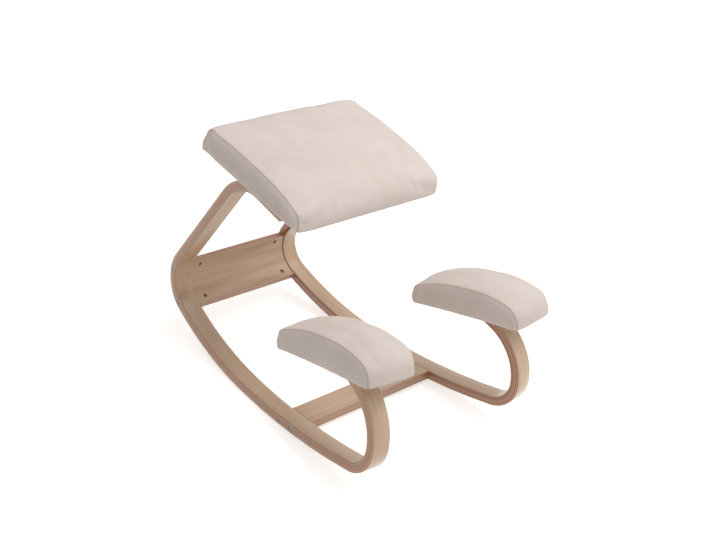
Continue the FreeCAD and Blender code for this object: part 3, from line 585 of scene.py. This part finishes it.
def blackNonwoven(name):
    # spun-bonded polypropylene cloth, black, with a small embossed point pattern
    material, tree = plainMaterial(name)
    where = addNode(tree, "TexCoord").outputs["Object"]
    pointScale = millimetresPerMetre / hiddenSizes["clothPoints"]
    points = addNode(tree, "TexVoronoi", {"Vector": where, "Scale": pointScale}).outputs["Distance"]
    fibres = addNode(tree, "TexNoise", {"Vector": where, "Scale": hiddenSizes["clothFibres"],
                                        "Detail": 3.0}).outputs["Fac"]
    dark, pale = [linear(tone) for tone in hiddenSizes["clothTones"]]
    colour = addNode(tree, "Mix", {0: fibres, 6: dark, 7: pale}, data_type="RGBA").outputs[2]
    bump = addNode(tree, "Bump", {"Strength": 0.5, "Distance": 0.0003, "Height": points})
    closeMaterial(tree, {"Base Color": colour, "Normal": bump,
                         "Roughness": hiddenSizes["clothRoughness"]})
    return material


coverSizes = {
    # microfibre with a suede nap: pale warm beige, soft sheen, brushed patches a shade lighter or darker
    "brushedDark": "#d6c8bf",
    "brushedLight": "#ddd0c8",
    # painted shade: the seams' crease is darkened towards this tone in the cover's colour
    "seamCreaseShade": "#c3ae9f",
    "patchSize": 70.0,
    "grainSize": 1.6,        # coarser than a real nap, so that it shows
    "creaseScale": 55.0,
    "creaseShare": 3.0,
    "bump": 0.35,
    "bumpDepth": 0.0003,
    "roughness": 0.72,
    "roughnessBelow": 0.06,
    "roughnessAbove": 0.08,
    "sheen": 0.25,
    "sheenRoughness": 0.5,
    "sheenTone": "#fff4ea",
}


def napMicrofibre(name):
    material, tree = plainMaterial(name)
    where = addNode(tree, "TexCoord").outputs["Object"]
    patchScale = millimetresPerMetre / coverSizes["patchSize"]
    grainScale = millimetresPerMetre / coverSizes["grainSize"]
    patches = addNode(tree, "TexNoise", {"Vector": where, "Scale": patchScale, "Detail": 5.0,
                                         "Roughness": 0.62, "Distortion": 0.6}).outputs["Fac"]
    brushed = addNode(tree, "MapRange", {"Value": patches, "From Min": 0.32, "From Max": 0.68})
    colour = addNode(tree, "Mix", {0: brushed, 6: linear(coverSizes["brushedDark"]),
                                   7: linear(coverSizes["brushedLight"])}, data_type="RGBA").outputs[2]
    # painted shade along the seams: the colour turns darker at the seam points, where the crease would lie in
    # shade
    seam = addNode(tree, "Attribute", attribute_name="seam").outputs["Fac"]
    colour = addNode(tree, "Mix", {0: seam, 6: colour, 7: linear(coverSizes["seamCreaseShade"])},
                     data_type="RGBA").outputs[2]
    grain = addNode(tree, "TexNoise", {"Vector": where, "Scale": grainScale, "Detail": 3.0,
                                       "Roughness": 0.6}).outputs["Fac"]
    creases = addNode(tree, "TexNoise", {"Vector": where, "Scale": coverSizes["creaseScale"], "Detail": 4.0,
                                         "Roughness": 0.55}).outputs["Fac"]
    height = addNode(tree, "Math", {0: creases, 1: coverSizes["creaseShare"], 2: grain}, operation="MULTIPLY_ADD")
    bump = addNode(tree, "Bump", {"Strength": coverSizes["bump"], "Distance": coverSizes["bumpDepth"],
                                  "Height": height})
    roughest = coverSizes["roughness"] + coverSizes["roughnessAbove"]
    smoothest = coverSizes["roughness"] - coverSizes["roughnessBelow"]
    rough = addNode(tree, "MapRange", {"Value": brushed, "To Min": roughest, "To Max": smoothest})
    closeMaterial(tree, {"Base Color": colour, "Roughness": rough, "Normal": bump,
                         "Sheen Weight": coverSizes["sheen"], "Sheen Roughness": coverSizes["sheenRoughness"],
                         "Sheen Tint": linear(coverSizes["sheenTone"])})
    return material


def dress(piece, material):
    piece.data.materials.clear()
    piece.data.materials.append(material)


leftRunner = makeRunner()
cutRecesses(leftRunner)
storeBend(leftRunner)
leftRunner.name = "runner_left_bent"
leftRunner.data.transform(runnerMatrix(1))
lowFound, highFound = lowestAndHighest(leftRunner.data)
lowWanted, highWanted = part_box("runner_left")
# from the runners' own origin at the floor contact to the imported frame, in millimetres
packShift = ((lowWanted + highWanted) / 2 / mm) - (lowFound + highFound) / 2
packShift.x = 0
leftRunner.data.transform(Matrix.Scale(mm, 4) @ Matrix.Translation(packShift))
makeActive(leftRunner)
bpy.ops.object.shade_smooth_by_angle(angle=smoothAngle)
rightRunner = mirrorPiece(leftRunner, "runner_right_bent")
dress(leftRunner, laminatedWood("pressed birch lamination, left runner", bendPlace,
                                runnerSizes["thickness"] / 2, woodSizes["seeds"]["left"]))
dress(rightRunner, laminatedWood("pressed birch lamination, right runner", bendPlace,
                                 runnerSizes["thickness"] / 2, woodSizes["seeds"]["right"]))
finishPiece(leftRunner, "bent_laminated_wood", "runner_left")
finishPiece(rightRunner, "bent_laminated_wood", "runner_right")
print("runners bent, shift", [round(part, 3) for part in packShift])


cushionSizes = {
    # millimetres; the side view's points are (from an end, up): waist and shoulder from the rear end, ridge,
    # brow and tip from the front end; a bulge is how far the line between two of them stands out
    "seat": {
        "width": 423.0, "length": 315.0, "crown": 5, "behindBend": 174.6,
        "heelDrop": 9.0, "sideBulge": 7, "waist": (0.5, 27.6), "shoulderBulge": 10, "shoulder": (31, 50.2),
        "topBulge": 2.5, "ridge": (110, 48.6), "slopeBulge": 3, "brow": (19, 30.6), "noseBulge": 3,
        "tip": (5, 14.6), "toeDrop": 10.0, "heelFlat": 6, "toeFlat": 6,
        "sideDrop": 12.0, "sideBelly": 12.5, "cornerPull": 5.0, "cornerReach": 30.0,
        "pressure": 4.0, "columns": 60, "rows": 64, "rungs": 10,
        "cloth": (397.0, 294.0), "clothShift": 0.0, "seed": 3.0,
    },
    "pad": {
        "width": 133.0, "length": 278.0, "crown": 6, "behindBend": 118.5,
        "heelDrop": 12, "sideBulge": 6, "waist": (0.5, 14), "shoulderBulge": 5, "shoulder": (19, 33),
        "topBulge": 6.5, "ridge": (131, 56), "slopeBulge": 5, "brow": (33, 44.5), "noseBulge": 6,
        "tip": (3, 15), "toeDrop": 8.0, "heelFlat": 40, "toeFlat": 22,
        "sideDrop": 7.0, "sideBelly": 9.0, "cornerPull": 5.0, "cornerReach": 24.0,
        "pressure": 16.0, "columns": 20, "rows": 64, "rungs": 10,
        "cloth": (110.0, 211.0), "clothShift": -10.0, "seed": 9.0,
    },
}
padding = {
    # millimetres
    "proud": 1.6,            # the starting form stands this far outside the listed points
    "seamDrop": 4.4,         # how far the top has rounded down where it meets the side panel
    "seamDropBelow": 1.75,   # the same just past the seam, as a share of it
    "roundWidth": 28.0,      # how wide that rounding is
    "roundSteps": (4.0, 8.0, 14.0),
    "seamHalfWidth": 1.6,    # from the seam to the next ring of points
    "lipWidth": 13.5,        # the cover hangs below its board along this much of each side
    "lipRamp": 5.0,
    "cornerRound": 15.0,     # the side panels' belly fades within this height from the cushion's ends
    "bellyLow": 0.8,         # below 1 puts the side panel's widest place under its middle
    "bellyFull": 0.7,        # below 1 makes the side panel rounder
    "frames": 20,
    "furthest": 5.0,         # no point swells further than this
    "flatHeight": 0.4,       # points lower than this that face down further than flatFacing lie on the board
    "flatFacing": -0.3,
    "seamHold": 0.6,         # how firmly the seams stay in place, from 0 to 1
    "seamDepth": 0.8,
    "crease": 0.8,
    "pucker": 0.7,
    "puckerScale": (20, 95, 95),    # waves per metre
    "clothThickness": 0.6,
}
coverPhysics = {
    # settings of the cloth simulation under their own names
    "quality": 5, "mass": 0.25, "tension_stiffness": 12, "compression_stiffness": 12, "shear_stiffness": 6,
    "bending_stiffness": 1.2, "use_pressure": True, "pin_stiffness": 1.0,
}
unevenness = {
    # millimetres: the lengths and depths of slow swells, small ones and gathers at the corners
    "slowLength": 75, "slowDepth": 1.2,
    "smallLength": 24, "smallDepth": 0.3,
    "gatherAcross": 16, "gatherAlong": 48, "gatherDepth": 0.55, "gatherSteps": (2.1, 3.3),
    "fadeHeight": 12,
}


def bulgedArc(start, stop, bulge, count):
    # points from start up to, but not on, stop, on an arc that stands out to the right of the way
    chord = stop - start
    if abs(bulge) < 1e-6:
        return [start + chord * (step / count) for step in range(count)]
    half = chord.length / 2
    radius = (half * half + bulge * bulge) / (2 * bulge)
    right = Vector((chord.y, -chord.x)).normalized()
    centre = (start + stop) / 2 + right * (bulge - radius)
    first = start - centre
    sweep = 2 * math.asin(min(1, half / radius))
    return [centre + Matrix.Rotation(sweep * step / count, 2) @ first for step in range(count)]


def evenlySpaced(points, count):
    # the same line with evenly spaced points, both ends kept
    lengths = [0.0]
    for first, second in zip(points, points[1:]):
        lengths.append(lengths[-1] + (second - first).length)
    made, place = [], 0
    for step in range(count + 1):
        target = lengths[-1] * step / count
        while place < len(points) - 2 and lengths[place + 1] < target:
            place += 1
        share = (target - lengths[place]) / max(1e-9, lengths[place + 1] - lengths[place])
        made.append(points[place].lerp(points[place + 1], min(1, share)))
    return made


def sideLines(sizes, inset, rise):
    # upper and lower line of the side view, both from the heel to the toe; first is to the rear, second is up
    wall = -padding["proud"]
    length, high = sizes["length"], sizes["ridge"][1]
    stretch = (length - 2 * wall - 2 * inset) / length
    lift = (high - 2 * wall - inset + rise) / high

    def place(fromRear, up):
        return Vector(((length / 2 - fromRear) * stretch, wall + up * (lift if up > 0 else 1)))

    heel = place(0, -sizes["heelDrop"])
    waist = place(*sizes["waist"])
    shoulder = place(*sizes["shoulder"])
    ridge = place(length - sizes["ridge"][0], high)
    brow = place(length - sizes["brow"][0], sizes["brow"][1])
    tip = place(length - sizes["tip"][0], sizes["tip"][1])
    toe = place(length, -sizes["toeDrop"])
    upper = []
    for start, stop, bulge, count in ((heel, waist, "sideBulge", 8), (waist, shoulder, "shoulderBulge", 12),
                                      (shoulder, ridge, "topBulge", 24), (ridge, brow, "slopeBulge", 24),
                                      (brow, tip, "noseBulge", 10)):
        upper += bulgedArc(start, stop, sizes[bulge], count)
    upper += [tip, toe]
    lower = [heel, place(sizes["heelFlat"], 0), place(length - sizes["toeFlat"], 0), toe]
    return upper, lower


def halfWidth(sizes):
    return sizes["width"] / 2 + padding["proud"]


def stationsAcross(sizes):
    # across, how far the outline is drawn in, and how far the crown lifts it
    half = halfWidth(sizes)
    seamAt = half - sizes["sideBelly"]
    level = seamAt - padding["roundWidth"]
    narrow, drop = padding["seamHalfWidth"], padding["seamDrop"]
    right = [(seamAt + narrow, drop * padding["seamDropBelow"], 0), (seamAt, drop, 0)]
    for away in (narrow, *padding["roundSteps"]):
        right.append((seamAt - away, drop * (1 - away / padding["roundWidth"]) ** 2, 0))
    right.append((level, 0, 0))
    columns = sizes["columns"]
    across = [(level * (1 - 2 * step / columns), 0, sizes["crown"] * (1 - (1 - 2 * step / columns) ** 2))
              for step in range(1, columns)]
    return right + across + [(-x, inset, rise) for x, inset, rise in reversed(right)]


def sideHang(sizes, share):
    # how far a side's lower edge hangs below the board, from the heel to the toe
    toHeel = (sizes["heelDrop"] - sizes["sideDrop"]) * (1 - share) ** 3
    return sizes["sideDrop"] + toHeel + (sizes["toeDrop"] - sizes["sideDrop"]) * share ** 6


def cushionMesh(name, sizes):
    # a sewn form: rings from side to side for the long panel, and rungs that close each side panel
    rows, rungs, half = sizes["rows"], sizes["rungs"], halfWidth(sizes)
    stations = stationsAcross(sizes)
    places, rings = [], []
    for across, inset, rise in stations:
        upper, lower = sideLines(sizes, inset, rise)
        upper, lower = evenlySpaced(upper, rows), evenlySpaced(lower, rows)
        hang = min(1, max(0, (abs(across) - (half - padding["lipWidth"])) / padding["lipRamp"]))
        lower = [Vector((point.x, min(point.y, -padding["proud"] - hang * sideHang(sizes, row / rows))))
                 for row, point in enumerate(lower)]
        top = list(range(len(places), len(places) + rows + 1))
        places += [(across, point.x, point.y) for point in upper]
        below = list(range(len(places), len(places) + rows - 1))
        places += [(across, point.x, point.y) for point in lower[1:-1]]
        rings.append((top, [top[0]] + below + [top[-1]]))
    faces = []
    for (top, below), (nextTop, nextBelow) in zip(rings, rings[1:]):
        for row in range(rows):
            faces.append((top[row], top[row + 1], nextTop[row + 1], nextTop[row]))
            faces.append((below[row], nextBelow[row], nextBelow[row + 1], below[row + 1]))
    for (top, below), turned in ((rings[0], False), (rings[-1], True)):
        columns = []
        for row in range(rows + 1):
            if row in (0, rows):
                columns.append([top[row]] * (rungs + 1))
                continue
            low, high = Vector(places[below[row]]), Vector(places[top[row]])
            column = [below[row]]
            # the side panel bellies out most at its middle, and less towards the cushion's two ends
            fromEnd = min(high.y - places[top[-1]][1], places[top[0]][1] - high.y)
            belly = sizes["sideBelly"] - padding["seamHalfWidth"]
            belly *= min(1, max(0, fromEnd) / padding["cornerRound"]) ** 0.5
            for rung in range(1, rungs):
                column.append(len(places))
                place = low.lerp(high, rung / rungs)
                swell = math.sin(math.pi * (rung / rungs) ** padding["bellyLow"]) ** padding["bellyFull"]
                place.x += math.copysign(belly * swell, place.x)
                places.append(tuple(place))
            columns.append(column + [top[row]])
        for first, second in zip(columns, columns[1:]):
            for rung in range(rungs):
                corners = [first[rung], second[rung], second[rung + 1], first[rung + 1]]
                corners = [corner for place, corner in enumerate(corners) if corner not in corners[:place]]
                if len(corners) > 2:
                    faces.append(tuple(reversed(corners)) if turned else tuple(corners))
    # the corners are rounded, seen from above
    rear, front = max(place[1] for place in places), min(place[1] for place in places)
    for number, (x, y, z) in enumerate(places):
        fromEnd = min(rear - y, y - front)
        pull = sizes["cornerPull"] * max(0, 1 - fromEnd / sizes["cornerReach"]) ** 2 * (x / half) ** 2
        places[number] = (x - math.copysign(pull, x), y, z)
    mesh = bpy.data.meshes.new(name)
    mesh.from_pydata(places, [], faces)
    mesh.validate()
    piece = bpy.data.objects.new(name, mesh)
    bpy.context.scene.collection.objects.link(piece)
    makeActive(piece)
    bpy.ops.object.mode_set(mode="EDIT")
    bpy.ops.mesh.select_all(action="SELECT")
    bpy.ops.mesh.normals_make_consistent(inside=False)
    bpy.ops.object.mode_set(mode="OBJECT")
    return piece, [rings[1], rings[-2]]


def inflate(piece, sizes, seamRings):
    # foam pressure in the sewn cover: the underside lies on its board and the seams hold
    held = piece.vertex_groups.new(name="held")
    seamPoints = {point for top, below in seamRings for point in top + below}
    for vertex in piece.data.vertices:
        low = vertex.co.z < (padding["flatHeight"] - padding["proud"]) * mm
        flat = low and vertex.normal.z < padding["flatFacing"]
        weight = 1.0 if flat else (padding["seamHold"] if vertex.index in seamPoints else 0.0)
        if weight:
            held.add([vertex.index], weight, "REPLACE")
    before = [vertex.co.copy() for vertex in piece.data.vertices]
    cloth = piece.modifiers.new("cover", "CLOTH")
    for setting, value in coverPhysics.items():
        setattr(cloth.settings, setting, value)
    cloth.settings.uniform_pressure_force = sizes["pressure"]
    cloth.settings.vertex_group_mass = held.name
    cloth.settings.effector_weights.gravity = 0
    cloth.point_cache.frame_start = 1
    cloth.point_cache.frame_end = padding["frames"]
    for number in range(1, padding["frames"] + 1):
        bpy.context.scene.frame_set(number)
    graph = bpy.context.evaluated_depsgraph_get()
    grown = piece.evaluated_get(graph).to_mesh()
    after = [vertex.co.copy() for vertex in grown.vertices]
    piece.evaluated_get(graph).to_mesh_clear()
    makeActive(piece)
    piece.modifiers.remove(cloth)
    bpy.context.scene.frame_set(1)
    furthest, allowed = 0, padding["furthest"] * mm
    for vertex, first, last in zip(piece.data.vertices, before, after):
        step = last - first
        furthest = max(furthest, step.length)
        if step.length > allowed:
            step = step.normalized() * allowed
        vertex.co = first + step
    print(piece.name, "swelled by up to", round(furthest / mm, 2), "mm")


def sewSeams(piece, seamRings):
    # creased seam lines, drawn in, with small puckers beside them
    mesh = piece.data
    pairs = set()
    for top, below in seamRings:
        loop = top + below[-2:0:-1]
        pairs |= {frozenset(pair) for pair in zip(loop, loop[1:] + loop[:1])}
    crease = mesh.attributes.new("crease_edge", "FLOAT", "EDGE")
    for edge in mesh.edges:
        if frozenset(edge.vertices) in pairs:
            crease.data[edge.index].value = padding["crease"]
    # marks the seam points, whose colour the cover material paints darker as shade in the crease
    seam = mesh.attributes.new("seam", "FLOAT", "POINT")
    points = {point for top, below in seamRings for point in top + below}
    normals = [vertex.normal.copy() for vertex in mesh.vertices]
    for point in points:
        seam.data[point].value = 1.0
        mesh.vertices[point].co -= normals[point] * padding["seamDepth"] * mm
    beside = {}    # keeps the order in which the points are found
    for edge in mesh.edges:
        first, second = edge.vertices
        for one, other in ((first, second), (second, first)):
            if one in points and other not in points:
                beside[other] = one
    for point in beside:
        wave = noise.noise(mesh.vertices[point].co * Vector(padding["puckerScale"]))
        mesh.vertices[point].co += normals[point] * wave * padding["pucker"] * mm


def soften(piece, sizes):
    # slow unevenness of hand-filled upholstery, fading to nothing at the underside
    mesh = piece.data
    normals = [vertex.normal.copy() for vertex in mesh.vertices]
    for vertex, normal in zip(mesh.vertices, normals):
        place = vertex.co / mm
        share = min(1, max(0, place.z / unevenness["fadeHeight"]))
        wave = noise.noise(place / unevenness["slowLength"] + Vector((sizes["seed"], 0, 0)))
        small = noise.noise(place / unevenness["smallLength"] + Vector((0, sizes["seed"], 0)))
        # gathers where the long panel is eased round the corners
        fromSeam = abs(abs(place.x) - (sizes["width"] / 2 - sizes["sideBelly"]))
        fromEnd = min(abs(place.y - sizes["length"] / 2), abs(place.y + sizes["length"] / 2))
        gather = max(0, 1 - fromSeam / unevenness["gatherAcross"])
        gather *= max(0, 1 - fromEnd / unevenness["gatherAlong"])
        along, up = unevenness["gatherSteps"]
        ripple = math.sin(place.y / along + place.z / up + 2 * wave) * gather * unevenness["gatherDepth"]
        rise = wave * unevenness["slowDepth"] + small * unevenness["smallDepth"] + ripple
        vertex.co += normal * share * rise * mm


def finishCushion(piece):
    makeActive(piece)
    smooth = piece.modifiers.new("smooth", "SUBSURF")
    smooth.levels = 1
    smooth.render_levels = 1
    bpy.ops.object.modifier_apply(modifier=smooth.name)
    bpy.ops.object.shade_smooth()
    piece.vertex_groups.clear()


def railTurn():
    # the seat's slope to the front, in degrees
    return sum(stretch["turn"] for stretch in rearPath) - 180


def seatMatrix():
    # the cushion's own frame on the highest edge of the two seat rails: X across, Y to the rear, Z up
    slope = Matrix.Rotation(math.radians(railTurn()), 3, "X")
    rearward, upward = slope @ Vector((0, 1, 0)), slope @ Vector((0, 0, 1))
    rail = rearPath[-1]
    up = heading(rail["angle"] - 90)
    up.x = -up.x
    top = []
    for end in ("start", "end"):
        point = rail[end] + up * runnerSizes["thickness"] / 2
        for face in (-0.5, 0.5):
            top.append(runnerMatrix(1) @ Vector((point.x, point.y, face * runnerSizes["width"])))
    height = max(point.dot(upward) for point in top) + padding["clothThickness"]
    sizes = cushionSizes["seat"]
    middle = top[0].dot(rearward) + sizes["behindBend"] - sizes["length"] / 2
    place = Matrix.Translation(packShift + rearward * middle + upward * height)
    return place @ slope.to_4x4()


def padMatrix():
    # the left pad's own frame on its rail: X across, Y to the rear, Z up
    rail = frontPath[-1]
    ahead, up = heading(rail["angle"]), heading(rail["angle"] - 90)
    sizes = cushionSizes["pad"]
    middle = sizes["behindBend"] - sizes["length"] / 2
    point = rail["start"] + ahead * middle + up * (runnerSizes["thickness"] / 2 + padding["clothThickness"])
    axes = Matrix((Vector(ahead).cross(up), ahead, up)).transposed()
    return Matrix.Translation(packShift) @ runnerMatrix(1) @ Matrix.Translation(point) @ axes.to_4x4()


def makeCushion(name, sizes, matrix):
    piece, seamRings = cushionMesh(name, sizes)
    piece.data.transform(Matrix.Scale(mm, 4))
    inflate(piece, sizes, seamRings)
    sewSeams(piece, seamRings)
    finishCushion(piece)
    soften(piece, sizes)
    piece.data.transform(Matrix.Scale(mm, 4) @ matrix @ Matrix.Scale(1 / mm, 4))
    return piece


clothSizes = {
    "cells": 48,
    "hem": 14,               # the waves fade out within 1 / 14 of the cloth's size from its edge
    "waves": (9, 6, 2.0),
    "waveHeight": 0.12,
    "solidShare": 0.8,
}


def makeCloth(name, sizes, matrix):
    # black cloth stapled over the underside, cut short of the cushion's edges
    width, length = sizes["cloth"]
    deselectAll()
    cells = clothSizes["cells"]
    bpy.ops.mesh.primitive_grid_add(x_subdivisions=cells, y_subdivisions=cells, size=1)
    piece = bpy.context.object
    piece.name = name
    for vertex in piece.data.vertices:
        x, y = vertex.co.x, vertex.co.y
        hem = min(1, clothSizes["hem"] * min(0.5 - abs(x), 0.5 - abs(y)))
        wave = noise.noise(Vector((x, y, 1)) * Vector(clothSizes["waves"])) * clothSizes["waveHeight"] * hem
        vertex.co = Vector((x * width, sizes["clothShift"] + y * length, wave - padding["clothThickness"] / 2))
    thick = piece.modifiers.new("thickness", "SOLIDIFY")
    thick.thickness = padding["clothThickness"] * clothSizes["solidShare"]
    thick.offset = 0
    makeActive(piece)
    bpy.ops.object.modifier_apply(modifier=thick.name)
    bpy.ops.object.shade_smooth_by_angle(angle=smoothAngle)
    piece.data.transform(Matrix.Scale(mm, 4) @ matrix)
    return piece, (width * mm, length * mm)


coverMaterial = napMicrofibre("brushed microfibre upholstery cloth")
clothMaterial = blackNonwoven("black spun-bonded underside cloth")

seatFrame, padFrame = seatMatrix(), padMatrix()
seatCushion = makeCushion("seat_cushion", cushionSizes["seat"], seatFrame)
leftPad = makeCushion("knee_pad_left_cushion", cushionSizes["pad"], padFrame)
rightPad = mirrorPiece(leftPad, "knee_pad_right_cushion")
for cushion, node in ((seatCushion, "seat"), (leftPad, "knee_pad_left"), (rightPad, "knee_pad_right")):
    dress(cushion, coverMaterial)
    finishPiece(cushion, "upholstery_cover", node + "_cover", node + "_foam")
print("cushions filled")

seatCloth, seatFlat = makeCloth("seat_underside", cushionSizes["seat"], seatFrame)
leftCloth, padFlat = makeCloth("knee_pad_left_underside", cushionSizes["pad"], padFrame)
rightCloth = mirrorPiece(leftCloth, "knee_pad_right_underside")
for cloth, flat, node in ((seatCloth, seatFlat, "seat"), (leftCloth, padFlat, "knee_pad_left"),
                          (rightCloth, padFlat, "knee_pad_right")):
    dress(cloth, clothMaterial)
    finishPiece(cloth, "underside_cloth", node + "_underside_cloth")
print("underside cloths on")


plateMaterial = laminatedWood("pressed birch plywood, rear plate", platePlace(packShift),
                              runnerSizes["plateThickness"] / 2, woodSizes["seeds"]["plate"])
barMaterial = laminatedWood("birch plywood bar", barPlace,
                            runnerSizes["thickness"] / 2, woodSizes["seeds"]["bar"])
boltMaterial = zincSteel("zinc-plated steel bolts", hiddenSizes["boltTone"], hiddenSizes["boltRoughness"])
nutMaterial = zincSteel("dark passivated barrel nuts", hiddenSizes["nutTone"], hiddenSizes["nutRoughness"])
boardMaterial = rawPlywood("raw birch plywood boards")
for nodeName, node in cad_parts.items():
    if nodeName == "rear_cross_plate":
        dress(node, plateMaterial)
    elif nodeName == "front_cross_bar":
        dress(node, barMaterial)
    elif nodeName.endswith("barrel_nuts"):
        dress(node, nutMaterial)
    elif nodeName.endswith(("_bolts", "_nuts", "_washers")):
        dress(node, boltMaterial)
    elif nodeName.endswith("_board"):
        dress(node, boardMaterial)
print("hard pieces finished")
